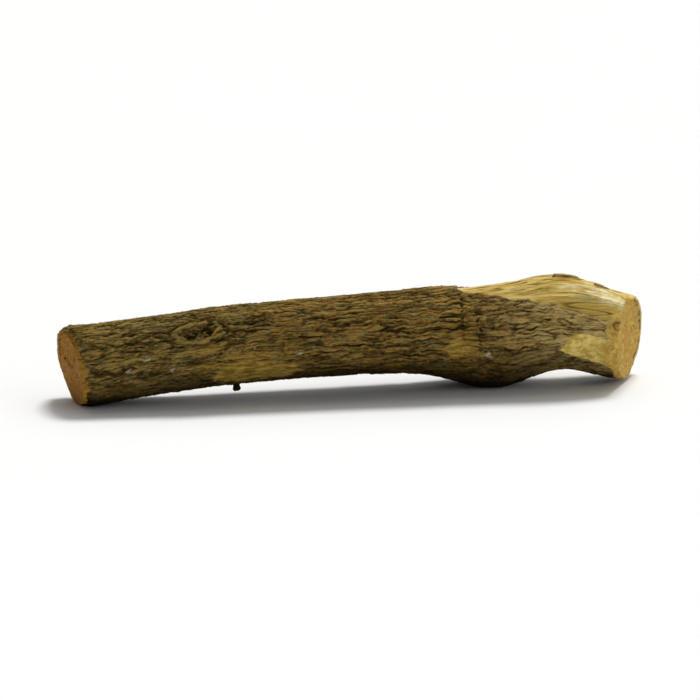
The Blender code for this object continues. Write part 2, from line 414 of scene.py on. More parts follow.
def flow_round_knots(place, degrees):
    """Angles pushed apart so that lines along the stick part and flow round each knot."""
    pushed = degrees
    for middle, angle, half_length, half_width in KNOTS:
        across = np.radians(turned(degrees, angle)) * GIRTH
        reach = ((place - middle) / half_length) ** 2 + (across / half_width) ** 2
        push = KNOT_PUSH * across * np.exp(-reach / KNOT_PUSH_REACH)
        pushed = pushed - np.degrees(push / GIRTH)
    return pushed


def furrows(place, degrees, number):
    """Furrows along the stick that wander: 0 on the lines, 1 half way between them."""
    waver = wave(place, degrees, FURROW_BEND, number)
    waver = waver + wave(place, degrees, FURROW_TREMBLE, number)
    return np.abs(np.sin(FURROW_COUNTS[number] * np.radians(degrees) / 2.0 + waver))


def cracks(place, degrees, plates):
    """Cracks along long plates: 1 in a crack, and a random tone for each plate."""
    thickness, length, width, seed = plates
    points = skin(place, degrees, length * MM, width * MM)
    gap, lengthwise, tone = cells(points, SEED + seed)
    crack = 1.0 - ramp(gap - thickness, thickness)
    return crack * ramp(lengthwise - 0.42, 0.25), tone


def bark_relief(place, degrees, radius):
    """Height of the bark's relief, how deep in a crack each spot is, and its plate's tone."""
    flow = grain_angle(place, degrees, radius) + flow_round_knots(place, degrees) - degrees
    flow = flow + wave(place, flow, FLOW_BEND)
    flow = flow + wave(place, flow, FLOW_TREMBLE)
    large = ramp(wave(place, degrees, CRACK_PLACES) + 0.15, 0.45)
    run, strength = straight(place, PLATE_RUN), straight(place, CRACK_STRENGTH)
    crack, tone = cracks(run, flow, PLATES)
    small_crack, small_tone = cracks(run, flow, SMALL_PLATES)
    crack = crack * (0.35 + 0.65 * large)
    small_crack = small_crack * (1.0 - 0.5 * large)
    lines = np.minimum(furrows(place, flow, 0), furrows(place, flow, 1))
    groove = (1.0 - np.clip(lines / 0.42, 0.0, 1.0)) ** 1.3
    groove = groove * ramp(wave(place, degrees, GROOVE_PLACES) + 0.10, 0.35)
    threads = wave(place, flow, THREADS)
    rough = wave(place, degrees, ROUGHNESS, octaves=4)
    relief = -CRACK_DEPTH * crack - SMALL_CRACK_DEPTH * small_crack - GROOVE_DEPTH * groove
    relief = strength * relief + PLATE_STEP * (tone - 0.5)
    relief += SMALL_PLATE_STEP * (small_tone - 0.5) + straight(place, THREAD_STRENGTH) * threads
    relief += straight(place, ROUGH_STRENGTH) * rough
    # The colour follows the relief: deeper spots are painted darker, as painted shade, and raised
    # threads and rough spots lighter, as painted light
    deep = crack + 0.50 * small_crack + 0.60 * groove - 0.20 * threads - 0.25 * rough
    tone = 0.5 * tone + 0.35 * small_tone + 0.22 * threads + 0.15 * rough
    return relief * MM, np.clip(deep * strength, 0.0, 1.0), tone


def scaling(place, degrees):
    """1 where a thin outer scale of the bark has come off, mostly towards the thin end."""
    patchy = wave(place, degrees, SCALES) + wave(place, degrees, SCALE_EDGES)
    return ramp(patchy - straight(place, SCALE_LIMIT), 0.05)


def ring_shape(reach, middle, width):
    """1 at a middle and a smooth fall to 0 on both sides of it."""
    return np.exp(-(((reach - middle) / width) ** 2))


def knot_relief(place, degrees):
    """Each knot is an eye: a rough dark hollow, a pale lip and a groove round that."""
    relief, dark, inside, lip = 0.0, 0.0, 0.0, 0.0
    lumps = wave(place, degrees, KNOT_LUMPS)
    for number, (middle, angle, half_length, half_width) in enumerate(KNOTS):
        across = np.radians(turned(degrees, angle)) * GIRTH
        reach = np.hypot((place - middle) / half_length, across / half_width)
        reach = reach + wave(place, degrees, KNOT_EDGES, number, 3)
        hollow, outer = ramp(0.80 - reach, 0.22), ring_shape(reach, 1.62, 0.17)
        relief = relief + KNOT_RIM * ring_shape(reach, 1.12, 0.25)
        relief = relief - (KNOT_HOLLOW - 0.38 * lumps) * hollow - KNOT_GROOVE * outer
        # Painted shade: the hollow, its edge and the groove round the knot are marked dark, less
        # where lumps rise in the hollow
        dark = np.maximum(dark, (0.55 - 0.95 * lumps) * hollow)
        dark = np.maximum(dark, np.maximum(0.8 * ring_shape(reach, 0.82, 0.12), 0.75 * outer))
        inside = np.maximum(inside, ramp(1.25 - reach, 0.25))
        lip = np.maximum(lip, ring_shape(reach, 1.20, 0.17))
    return relief * MM, np.clip(dark, 0.0, 1.0), inside, lip


def ring_relief(place, degrees):
    """The two scars round the node: a low ridge beside a row of small dark pits."""
    relief, dark = 0.0, 0.0
    turn = np.radians(turned(degrees, RING_ANGLE))
    for number, (middle, lean, angle, half_angle) in enumerate(NODE_RINGS):
        wander = wave(place, degrees, RING_WANDER, number)
        off = (place - middle - lean * np.sin(turn) - wander) / RING_WIDTH
        shown = 0.30 + 0.70 * ramp(half_angle - np.abs(turned(degrees, angle)), 6.0)
        rhythm = turned(degrees, 0.0) / PIT_SPACING
        rhythm = rhythm + wave(place, degrees, PIT_WANDER, number)
        pit = ring_shape(np.abs(rhythm - np.round(rhythm)), 0.0, 0.20)
        pit = pit * ring_shape(off, 0.0, 0.45)
        crease = 0.15 * ring_shape(off, 0.0, 0.3)
        ridge = RING_RIDGE * ring_shape(off, 1.5, 0.9)
        relief = relief + (ridge - PIT_DEPTH * pit - RING_CREASE * crease) * shown
        # Painted shade: the pits and the crease are marked dark
        dark = np.maximum(dark, np.minimum(pit + crease, 1.0) * shown)
    return relief * MM, dark


def worn_places(place, degrees, radius):
    """How worn the bark is, and how far that sinks it."""
    worn, sunk = 0.0, 0.0
    torn = wave(place, degrees, WORN_TEARS)
    for *patch, depth, wear in WORN_PATCHES:
        cover = ramp(inside_patch(place, degrees, radius, patch) + torn, 0.4 * MM)
        worn = np.maximum(worn, cover * wear)
        sunk = np.maximum(sunk, cover * depth)
    return worn, sunk


def under_shade(place, degrees, radius, worn):
    """Painted shade: how far the bark is darkened on the stick's underside and close to the floor.
    """
    height = middle_height(place) + radius * np.sin(np.radians(degrees))
    shade = ramp(np.abs(turned(degrees, 90.0)) - 121.0, 27.0) * (1.0 - 0.8 * worn)
    shade = shade * (1.0 - 0.5 * ramp(place - 36.0 * MM, 5.0 * MM))
    return np.maximum(shade, 1.22 * ramp(3.2 * MM - height, 2.0 * MM))


def speck_cover(place, degrees, radius):
    """1 in the small pale specks on the bark, 0 off them."""
    cover = 0.0
    uneven = 1.0 + wave(place, degrees, SPECK_EDGES)
    for middle, angle, size in SPECKS:
        off = np.hypot((place - middle) / 1.8, np.radians(turned(degrees, angle)) * radius)
        cover = np.maximum(cover, 1.0 - ramp(off * uneven - 0.8 * size, 0.35 * size))
    return cover


def bark_edge(place, degrees, radius):
    """How far a spot is from the nearest bare place, in metres, with a torn, splintered edge.
    Positive where there is bark."""
    bare = inside_strip(place, degrees, radius)
    for patch in BARE_PATCHES:
        bare = np.maximum(bare, inside_patch(place, degrees, radius, patch))
    for scrap in SCRAPS:
        bare = np.minimum(bare, -inside_patch(place, degrees, radius, scrap))
    to_end = np.minimum(*end_distances(place, degrees, radius))
    chip = 0.90 * MM + wave(place * 0.0, degrees, CHIPS)
    bare = np.maximum(bare, chip - to_end)
    torn = wave(place, degrees, TEARS) + wave(place, degrees, SMALL_TEARS)
    by_patch = ramp(inside_smooth(place, degrees, radius) + 2.0 * MM, 1.5 * MM)
    calm = np.maximum(by_patch, 1.0 - ramp(to_end - 2.5 * MM, 1.5 * MM))
    return -bare + torn * MM * (1.0 - 0.6 * calm)


def cut_place(cut, across, up):
    """Where on X a cut's plane is, for a spot's distances across and up from the middle."""
    middle, lean_across, lean_up = cut
    return middle + lean_across * across + lean_up * up


def end_distances(place, degrees, radius):
    """How far a spot is from the left cut and from the right one, along the stick."""
    turn = np.radians(degrees)
    across, up = -np.cos(turn) * radius, np.sin(turn) * radius
    return place - cut_place(LEFT_CUT, across, up), cut_place(RIGHT_CUT, across, up) - place


# Wood

# Kinds of noise, as for the bark. They bend the grain and make its relief and colours
GRAIN_BEND = (7.0, 24.0, 5.0, 80)
SPLIT_STEPS = (2.6, 24.0, 1.9, 81)
FIBRES = (1.0, 12.0, 0.42, 82)
FINE_FIBRES = (0.6, 7.0, 0.21, 83)
CRACK_LINES = (1.0, 16.0, 1.5, 84)
WOOD_CRACK_PLACES = (1.0, 14.0, 2.5, 85)
WOOD_ROUGHNESS = (0.02, 1.2, 0.25, 86)
PATCH_BUMPS = (0.13, 1.6, 1.1, 90)
PATCH_GRAIN = (0.07, 0.60, 0.50, 92)
COLOUR_DRIFT = (0.8 * MM, 2.0, 2.0, 93)
# Heights and depths of the relief in millimetres
STEP_HEIGHT, FIBRE_HEIGHT, WOOD_CRACK_DEPTH = 0.13, 0.055, 0.28
NICK_DEPTH = 0.60 * MM
# How far the smooth patches stand above the wood round them
PATCH_RISE = 0.3 * MM
# The cut faces: size of their torn lumps, rise of the upper facet, half width of a crack
FACE_LUMP = 2.2 * MM
FACET_RISE = 0.20
FACE_CRACK = 0.13 * MM


def wood_relief(place, degrees, radius):
    """Height of the split wood's fibres and steps, and how deep in a crack each spot is."""
    flow = grain_angle(place, degrees, radius) + wave(place, degrees, GRAIN_BEND)
    steps = wave(place, flow, SPLIT_STEPS)
    level = np.floor(steps) + ramp(steps - np.floor(steps) - 0.85, 0.15)
    fibres = wave(place, flow, FIBRES) + wave(place, flow, FINE_FIBRES)
    split = np.abs(wave(place, flow, CRACK_LINES))
    crack = 1.0 - ramp(split - 0.045, 0.04)
    crack = crack * ramp(wave(place, flow, WOOD_CRACK_PLACES) + 0.05, 0.25)
    relief = STEP_HEIGHT * level + FIBRE_HEIGHT * fibres - WOOD_CRACK_DEPTH * crack
    relief += wave(place, flow, WOOD_ROUGHNESS, octaves=3)
    return relief * MM, crack


def patch_relief(place, degrees):
    """The low bumps of the smooth patches of the thick end."""
    bumps = wave(place, degrees, PATCH_BUMPS, octaves=3)
    return (bumps + wave(place, degrees, PATCH_GRAIN, octaves=2)) * MM


def nick_shape(place, degrees, radius):
    """1 in the curved nick, 0 off it: the upper left quarter of a small ring."""
    middle, angle, reach, width = NICK
    ahead, above = place - middle, np.radians(turned(degrees, angle)) * radius
    off = np.hypot(ahead, above)
    towards = (above - ahead) / (1.414 * np.maximum(off, 0.1 * MM))
    return ring_shape(off, reach, width) * ramp(towards - 0.25, 0.25)


def wood_form(place, degrees):
    """The wood's radius, and the marks that its colours follow."""
    radius = plain_radius(place, degrees)
    spot = place, degrees, radius
    strip = ramp(inside_strip(*spot) + 0.8 * MM, 1.2 * MM)
    patch = ramp(inside_smooth(*spot) + 0.6 * MM, 0.8 * MM)
    relief, crack = wood_relief(*spot)
    to_left, to_cut = end_distances(*spot)
    to_end = np.maximum(np.minimum(to_left, to_cut), 0.0)
    bevel, flare = ring_shape(to_end, 0.0, 0.9 * MM), ring_shape(to_end, 0.0, 2.2 * MM)
    sunk = BARK_DEPTH * (1.0 - 0.5 * flare * (1.0 - strip)) + 0.4 * MM * bevel
    sunk = sunk + strip * flat_top(degrees, radius) - PATCH_RISE * patch
    nick = nick_shape(*spot)
    relief = relief * (1.0 - patch) + patch_relief(place, degrees) * patch - NICK_DEPTH * nick
    relief = relief * off_floor(place, degrees, radius - BARK_DEPTH)
    drift = wave(place, degrees, COLOUR_DRIFT)
    cream = inside_patch(*spot, CREAM_PATCH) + 2.0 * drift
    green = inside_patch(*spot, GREEN_PATCH) + 1.5 * drift
    marks = {
        # Painted shade: the wood is marked dark in its cracks and in the nick
        "crack": np.maximum(crack * (1.0 - patch), nick),
        "patch": patch,
        "cut": ramp(2.2 * MM + 1.5 * drift - to_cut, 2.0 * MM) * patch,
        "cream": ramp(cream, 1.2 * MM),
        "green": ramp(green, 0.9 * MM),
    }
    return radius - sunk + relief, marks


# The bark over the wood

def bark_form(place, degrees):
    """The bark's radius, and the marks that its colours follow. From its edge inwards comes a
    thin inner layer first and then the full depth."""
    radius = plain_radius(place, degrees)
    spot = place, degrees, radius
    wood = wood_form(place, degrees)[0]
    edge = bark_edge(*spot)
    inner = ramp(edge, 0.12 * MM)
    outer = ramp(edge - (0.5 * MM + wave(place, degrees, LAYER_TEARS)), 0.16 * MM)
    worn, worn_depth = worn_places(*spot)
    relief, crack, tone = bark_relief(*spot)
    knots, knot_dark, in_knot, lip = knot_relief(place, degrees)
    rings, ring_dark = ring_relief(place, degrees)
    relief = relief * (1.0 - 0.35 * worn) * (1.0 - 0.75 * in_knot) + knots + rings
    relief = relief * off_floor(*spot)
    off = scaling(place, degrees) * (1.0 - worn)
    full = np.maximum(radius - worn_depth - SCALE_DEPTH * off + relief, wood + 0.12 * MM)
    under = np.minimum(wood, radius - BARK_DEPTH) - 0.5 * MM
    thin = radius - 0.50 * BARK_DEPTH + 0.70 * relief
    made = under + inner * (thin - under) + outer * (full - thin)
    scrap = ramp(inside_strip(*spot), 0.4 * MM)
    made = np.minimum(made, made + scrap * (wood + SCRAP_DEPTH + 0.7 * relief - made))
    crack = crack * (1.0 - 0.35 * worn) * (1.0 - 0.8 * in_knot)
    crack = np.maximum(np.maximum(crack * (1.0 - 0.6 * lip), knot_dark), ring_dark)
    # Painted light from above: the upper side is made lighter in the tone, and the pale colour is
    # stronger there
    upper = ramp(85.0 - np.abs(turned(degrees, 90.0)), 26.0)
    drift = wave(place, degrees, PALE_DRIFT)
    # The bark is paler towards the thick end; its extra strength on the upper side is painted light
    pale = ramp(place - 30.0 * MM + drift, 9.0 * MM) * (0.68 + 0.32 * upper)
    by_edge = ring_shape(np.maximum(edge, 0.0), 0.0, 1.3 * MM)
    marks = {
        "crack": crack * (1.0 - 0.1 * pale),
        # The tone holds the plates' own tone, a pale knot lip and painted light on the upper side
        "tone": tone + 0.30 * lip + 0.14 * (upper - 0.5),
        "layer": outer * (1.0 - 0.45 * off) * (1.0 - 0.6 * scrap),
        "worn": worn,
        # The under mark is painted shade: the bark made darker under the stick and near the floor
        "under": under_shade(*spot, worn),
        "pale": pale,
        "speck": speck_cover(*spot),
        "fringe": by_edge * ramp(place - 12.0 * MM, 6.0 * MM),
    }
    return made, marks


# Building closed pieces

def spread(count, low, high, density):
    """Values from low to high, closer together where density is greater."""
    fine = np.linspace(low, high, 4000)
    total = np.concatenate([[0.0], np.cumsum(density(fine[1:]))])
    return np.interp(np.linspace(0.0, total[-1], count), total, fine)


def rod_points(shares, degrees, form, end_gap):
    """The side points of a rod, one row for each share of the length, and its form's marks."""
    share, angle = np.meshgrid(shares, degrees, indexing="ij")
    across, up = -np.cos(np.radians(angle)), np.sin(np.radians(angle))
    left = cut_place(LEFT_CUT, across * PLAIN_REACH, up * PLAIN_REACH) + end_gap
    right = cut_place(RIGHT_CUT, across * PLAIN_REACH, up * PLAIN_REACH) - end_gap
    place = left + share * (right - left)
    radius, marks = form(place, angle)
    for row, cut, gap in ((0, LEFT_CUT, end_gap), (-1, RIGHT_CUT, -end_gap)):
        place[row] = cut_place(cut, across[row] * radius[row], up[row] * radius[row]) + gap
    return place, angle, radius, marks


def placed(place, degrees, radius):
    """The points in space for places, angles and radii."""
    turn = np.radians(degrees)
    across = along(place, SIDEWAYS) - radius * np.cos(turn)
    height = middle_height(place) + radius * np.sin(turn)
    return np.stack([place, across, np.maximum(height, 0.0)], -1)


def face_rows(cut, way, angle, radius):
    """Rows of points across a cut face, from just inside its rim to its middle, and their
    distances from the middle. The way into the stick is 1 or -1 along X."""
    outs = np.linspace(1.0, 0.0, END_ROWS + 1)[1:-1] ** 0.9
    out, turn = np.meshgrid(outs, np.radians(angle), indexing="ij")
    reach = out * radius
    across, up = -np.cos(turn) * reach, np.sin(turn) * reach
    inwards = cut_depth(across, up) * np.clip((1.0 - out) / 0.04, 0.0, 1.0)
    return placed(cut_place(cut, across, up) + way * inwards, np.degrees(turn), reach), reach


def with_tips(rows):
    """Rows of values as one list, with the mean of the first row and of the last row added."""
    values = rows.reshape(-1, *rows.shape[2:])
    return np.concatenate([values, rows[0].mean(0)[None], rows[-1].mean(0)[None]])


def closed_piece(name, rods, marks, normals=None):
    """A smooth mesh of closed rods, each given as rows of points round it. Where there are
    marks there is one rod, and each mark has a number for each of its points."""
    quads, fans, total = [], [], 0
    for rows in rods:
        steps, count = rows.shape[:2]
        here, beside = total + np.arange(count), total + (np.arange(count) + 1) % count
        ring = np.stack([here, here + count, beside + count, beside], -1)
        quads += [ring + step * count for step in range(steps - 1)]
        last, tip = (steps - 1) * count, np.full(count, total + steps * count)
        fans += [np.stack([here, beside, tip], -1)]
        fans += [np.stack([beside + last, here + last, tip + 1], -1)]
        total += steps * count + 2
    mesh = bpy.data.meshes.new(name)
    points = np.concatenate([with_tips(rows) for rows in rods])
    faces = np.concatenate(quads).tolist() + np.concatenate(fans).tolist()
    mesh.from_pydata(points.tolist(), [], faces)
    for mark, values in marks.items():
        values = with_tips(values).astype(np.float32)
        mesh.attributes.new(mark, "FLOAT", "POINT").data.foreach_set("value", values)
    mesh.shade_smooth()
    if normals is not None:
        mesh.normals_split_custom_set_from_vertices(with_tips(normals).tolist())
    piece = bpy.data.objects.new(name, mesh)
    bpy.context.scene.collection.objects.link(piece)
    return piece


def side_normals(rows):
    """Which way the surface of a grid of points faces."""
    across = np.roll(rows, -1, 1) - np.roll(rows, 1, 1)
    normals = np.cross(np.gradient(rows, axis=0), across)
    return normals / np.linalg.norm(normals, axis=-1, keepdims=True)


def cut_depth(across, up):
    """A chopped face: two shallow facets, torn fibres and cracks that run out from the pith."""
    spot = np.stack([across / FACE_LUMP, up / FACE_LUMP, across * 0.0], -1)
    broad = 0.20 * layered(spot, SEED + 95, 3)
    torn = 0.10 * noise(spot * 5.0, SEED + 96) + 0.07 * noise(spot * 11.0, SEED + 97)
    facet = FACET_RISE * np.maximum((up + 0.4 * across) / (4.0 * MM), 0.0)
    bend = 0.25 * noise(spot * 1.3, SEED + 98)
    reach, turn = np.hypot(across, up), np.arctan2(up, across)
    crack = 0.0
    for angle, start, end in PITH_CRACKS:
        off = np.sin(turn - math.radians(angle) + bend) * reach
        ahead = np.cos(turn - math.radians(angle)) * reach
        shown = ramp(ahead - start, 0.5 * MM) * ramp(end - ahead, 0.8 * MM)
        crack = crack + 0.5 * shown * ring_shape(off, 0.0, FACE_CRACK)
    return np.maximum(0.16 + 0.8 * (broad + torn) + facet + crack, 0.0) * MM


def bark_density(share):
    """More rows of points at the ends, the node's scars and the front knot."""
    density = 1.0 + 1.6 * ring_shape(np.minimum(share, 1.0 - share), 0.0, 0.02)
    for middle, width, more in ((0.715, 0.03, 1.1), (0.226, 0.04, 0.7)):
        density = density + more * ring_shape(share, middle, width)
    return density


def wood_density(share):
    """Most rows of points in the stripped top, some in its patches and by the right cut."""
    strip = ramp(share - 0.60, 0.03)
    patches = ramp(share - 0.08, 0.03) * ramp(0.45 - share, 0.03)
    return 0.15 + 0.85 * strip + 0.45 * patches + 1.6 * ring_shape(share, 0.955, 0.02)


def wood_turn_density(degrees):
    """Most points go where the wood shows from the front and the top."""
    return 0.40 + 0.60 * ramp(115.0 - np.abs(turned(degrees, 62.0)), 8.0)


def inner_end(row, way):
    """A smaller flat outline inside a section's end that faces a way, and how it faces."""
    ahead = np.array([way, 0.0, 0.0])
    middle = row.mean(1, keepdims=True)
    outline = middle + INNER_END_SHARE * (row - middle) - INNER_END * ahead
    return outline, np.zeros_like(row) + ahead


def make_bark():
    """The bark, in closed sections along the stick that meet row on row."""
    shares = spread(BARK_SECTIONS * BARK_ROWS + 1, 0.0, 1.0, bark_density)
    degrees = np.linspace(-180.0, 180.0, BARK_ROUND, endpoint=False)
    place, angle, radius, marks = rod_points(shares, degrees, bark_form, BARK_GAP)
    sides = placed(place, angle, radius)
    normals = side_normals(sides)
    pieces = []
    for section in range(BARK_SECTIONS):
        part = slice(section * BARK_ROWS, (section + 1) * BARK_ROWS + 1)
        start, start_facing = inner_end(sides[part][:1], -1.0)
        end, end_facing = inner_end(sides[part][-1:], 1.0)
        rows = np.concatenate([start, sides[part], end])
        facing = np.concatenate([start_facing, normals[part], end_facing])
        values = {}
        for name, mark in marks.items():
            values[name] = np.pad(mark[part], ((1, 1), (0, 0)), "edge")
        pieces.append(closed_piece(f"bark_{section + 1}", [rows], values, facing))
    return pieces


def make_wood():
    """The wood, with its two cut faces."""
    shares = spread(WOOD_ROWS, 0.0, 1.0, wood_density)
    degrees = spread(WOOD_ROUND + 1, -180.0, 180.0, wood_turn_density)[:-1]
    place, angle, radius, marks = rod_points(shares, degrees, wood_form, 0.0)
    left, left_reach = face_rows(LEFT_CUT, 1.0, degrees, radius[0])
    right, right_reach = face_rows(RIGHT_CUT, -1.0, degrees, radius[-1])
    rows = np.concatenate([left[::-1], placed(place, angle, radius), right])
    values = {}
    for name, mark in marks.items():
        on_faces = float(name == "cut") + 0.0 * left_reach
        values[name] = np.concatenate([on_faces, mark, on_faces])
    values["reach"] = np.concatenate([left_reach[::-1], radius, right_reach])
    return closed_piece("wood", [rows], values)


def make_stub():
    """A short knobby stub of a twig, pointing down."""
    middle, angle, size, length = STUB
    surface = plain_radius(middle, angle)
    turn = np.linspace(0.0, 2.0 * math.pi, STUB_ROUND, endpoint=False)
    rows = []
    for out, share in STUB_PROFILE:
        wide = size * share * (1.0 + 0.10 * np.sin(3.0 * turn + 4.0 * out))
        radius = surface + length * out + 0.04 * MM * np.cos(2.0 * turn)
        degrees = angle - np.degrees(wide * np.sin(turn) / surface)
        rows.append(placed(middle + wide * np.cos(turn), degrees, radius))
    rows = np.stack(rows)
    none = rows[..., 0] * 0.0
    # Painted shade: the stub under the stick takes the full under mark's dark and half the cracks'
    # dark
    marks = {"under": none + 1.0, "crack": none + 0.5, "layer": none + 1.0}
    return closed_piece("twig_stub", [rows], marks)


def make_splinters():
    """Thin split fibres that lie on the stripped top with one end lifted."""
    pick = np.random.default_rng(SEED)
    share = np.linspace(0.0, 1.0, SPLINTER_ROWS)
    swell = np.sin(math.pi * np.clip(share, 0.03, 0.97)) ** 0.7
    rods = []
    while len(rods) < SPLINTERS:
        start, angle, length, wide, lift, drift = [pick.uniform(*ends) for ends in SPLINTER_RANGES]
        place, degrees = start + share * (length * MM), angle + drift * share
        radius = plain_radius(place, degrees)
        inside = inside_strip(place, degrees, radius)
        to_cut = end_distances(place, degrees, radius)[1]
        if inside.min() < 0.7 * MM or to_cut.min() < 0.6 * MM:
            continue
        surface = wood_form(place, degrees)[0]
        surface = np.convolve(np.pad(surface, 2, "edge"), np.full(5, 0.2), "valid")
        middle, wide = surface + lift * MM * share**2, wide * MM
        across, tall = np.degrees(wide * swell / middle), 0.6 * wide * swell
        sides = ((-across, 0.0), (0.0, -tall - 0.05 * MM), (across, 0.0), (0.0, tall))
        rod = [placed(place, degrees - side, middle + rise) for side, rise in sides]
        rods.append(np.stack(rod, 1))
    return closed_piece("splinters", rods, {})


# Materials

# Pairs of colours go from dark to light, the split wood's from light to dark
BARK_COLOURS = (0.054, 0.032, 0.0075), (0.34, 0.22, 0.06)
INNER_COLOURS = (0.15, 0.08, 0.022), (0.46, 0.31, 0.10)
OCHRE_COLOURS = (0.32, 0.195, 0.03), (0.52, 0.345, 0.07)
BARK_DUST = (0.48, 0.38, 0.18)
COOL, RUDDY = (0.93, 1.03, 1.03), (1.08, 0.935, 0.74)
# Blotches of the bark: stretch along the stick, size in millimetres, limit, strength, colour
BLOTCHES = (
    (2.2, 5.0, 0.48, 0.45, (0.31, 0.185, 0.038)),
    (1.8, 2.4, 0.53, 0.50, (0.235, 0.19, 0.09)),
    (2.5, 1.3, 0.55, 0.50, (0.165, 0.148, 0.05)),
    (2.8, 1.7, 0.55, 0.50, (0.185, 0.088, 0.03)),
    (2.0, 0.9, 0.58, 0.50, (0.41, 0.295, 0.11)),
)
# Colours that follow a mark of the bark, in smudges or evenly: mark, strength, colour
SMUDGED_MARKS = (
    # The pale bark of the thick end; where it is stronger on the upper side it is painted light
    ("pale", 0.90, (0.67, 0.48, 0.17)),
    ("fringe", 0.45, (0.58, 0.46, 0.21)),
)
EVEN_MARKS = (
    # The crack colour is painted shade in the cracks, grooves, knot hollows and pits
    ("crack", 0.92, (0.015, 0.008, 0.002)),
    # The under colour is painted shade under the stick and near the floor
    ("under", 0.80, (0.012, 0.008, 0.002)),
    ("speck", 0.60, (0.62, 0.55, 0.36)),
)
SPLIT_COLOURS = (0.74, 0.56, 0.155), (0.56, 0.36, 0.058)
SPLIT_LINES, SPLIT_CLOUDS = (0.38, 0.21, 0.045), (0.72, 0.58, 0.24)
FAR_SIDE = (0.76, 0.62, 0.30)
CREAM, GREEN = (0.88, 0.78, 0.46), (0.34, 0.29, 0.07)
PATCH_COLOURS = (0.52, 0.37, 0.07), (0.84, 0.65, 0.19)
PATCH_DOTS = (0.34, 0.21, 0.035)
FACE_COLOURS = (0.38, 0.205, 0.026), (0.74, 0.52, 0.125)
FACE_CLOUDS, FACE_RINGS = (0.50, 0.27, 0.04), (0.36, 0.19, 0.035)
# The thin end's wood is multiplied darker and more orange: painted shade, with a more orange hue
THIN_END_SHADE = (0.66, 0.48, 0.26)
WOOD_CRACKS = (0.14, 0.058, 0.012)
# The distance between two rings of the cut faces, and how far they waver
RING_STEP, RING_WAVER = 0.85 * MM, 0.9 * MM
FLOOR_COLOURS = (0.86, 0.86, 0.85), (0.89, 0.89, 0.88)


def node(tree, kind, inputs=None, **settings):
    """A shader node with its settings, its values and what is linked into it."""
    made = tree.nodes.new("ShaderNode" + kind)
    for setting, value in settings.items():
        setattr(made, setting, value)
    for name, value in (inputs or {}).items():
        socket = made.inputs[name]
        if isinstance(value, bpy.types.NodeSocket):
            tree.links.new(value, socket)
        else:
            socket.default_value = (*value, 1.0) if socket.type == "RGBA" else value
    return made


def blend(tree, share, first, second, how="MIX"):
    """Two colours mixed by a share."""
    inputs = {0: share, 6: first, 7: second}
    return node(tree, "Mix", inputs, data_type="RGBA", blend_type=how).outputs[2]


def sums(tree, how, first, second=0.0, third=0.0):
    """The sum, product or sine of up to three values."""
    return node(tree, "Math", {0: first, 1: second, 2: third}, operation=how).outputs[0]


def between(tree, value, low, high):
    """0 at low, 1 at high and a smooth rise between."""
    inputs = {"Value": value, "From Min": low, "From Max": high}
    return node(tree, "MapRange", inputs, interpolation_type="SMOOTHSTEP").outputs[0]


def shaded(tree, value, limits, colours):
    """The first colour under the lower limit of a value, the second over the upper one."""
    return blend(tree, between(tree, value, *limits), *colours)


def laid_over(tree, base, cover, share, tint):
    """A colour laid over another where a cover is, at a share of its full strength."""
    return blend(tree, sums(tree, "MULTIPLY", cover, share), base, tint)


def marked(tree, name):
    """The number that a mark has at each spot."""
    return node(tree, "Attribute", attribute_name=name).outputs["Fac"]


def axes(tree):
    """How far each spot is along X, Y and Z."""
    where = node(tree, "TexCoord").outputs["Object"]
    return node(tree, "SeparateXYZ", {0: where}).outputs


def grain(tree, stretch, size, detail=5.0, roughness=0.6):
    """Noise of a size in metres, drawn out along the stick."""
    where = node(tree, "TexCoord").outputs["Object"]
    scaled = node(tree, "Mapping", {"Vector": where, "Scale": (1.0 / stretch, 1.0, 1.0)})
    inputs = {"Vector": scaled.outputs[0], "Scale": 1.0 / size}
    inputs |= {"Detail": detail, "Roughness": roughness}
    return node(tree, "TexNoise", inputs).outputs["Fac"]


def new_material(name, roughness, specular):
    made = bpy.data.materials.new(name)
    made.use_nodes = True
    shader = made.node_tree.nodes["Principled BSDF"]
    shader.inputs["Roughness"].default_value = roughness
    shader.inputs["Specular IOR Level"].default_value = specular
    return made.node_tree, shader, made


def add_bump(tree, shader, height, depth, strength):
    inputs = {"Height": height, "Distance": depth, "Strength": strength}
    tree.links.new(node(tree, "Bump", inputs).outputs[0], shader.inputs["Normal"])


def bark_hue(tree):
    """Cooler and ruddier spots, to multiply the bark's colour with."""
    thick_part = between(tree, axes(tree)[0], -0.042, -0.012)
    ruddy = sums(tree, "MULTIPLY_ADD", thick_part, 0.10, grain(tree, 3.0, 0.9 * MM, 3.0))
    return shaded(tree, ruddy, (0.48, 0.72), (COOL, RUDDY))


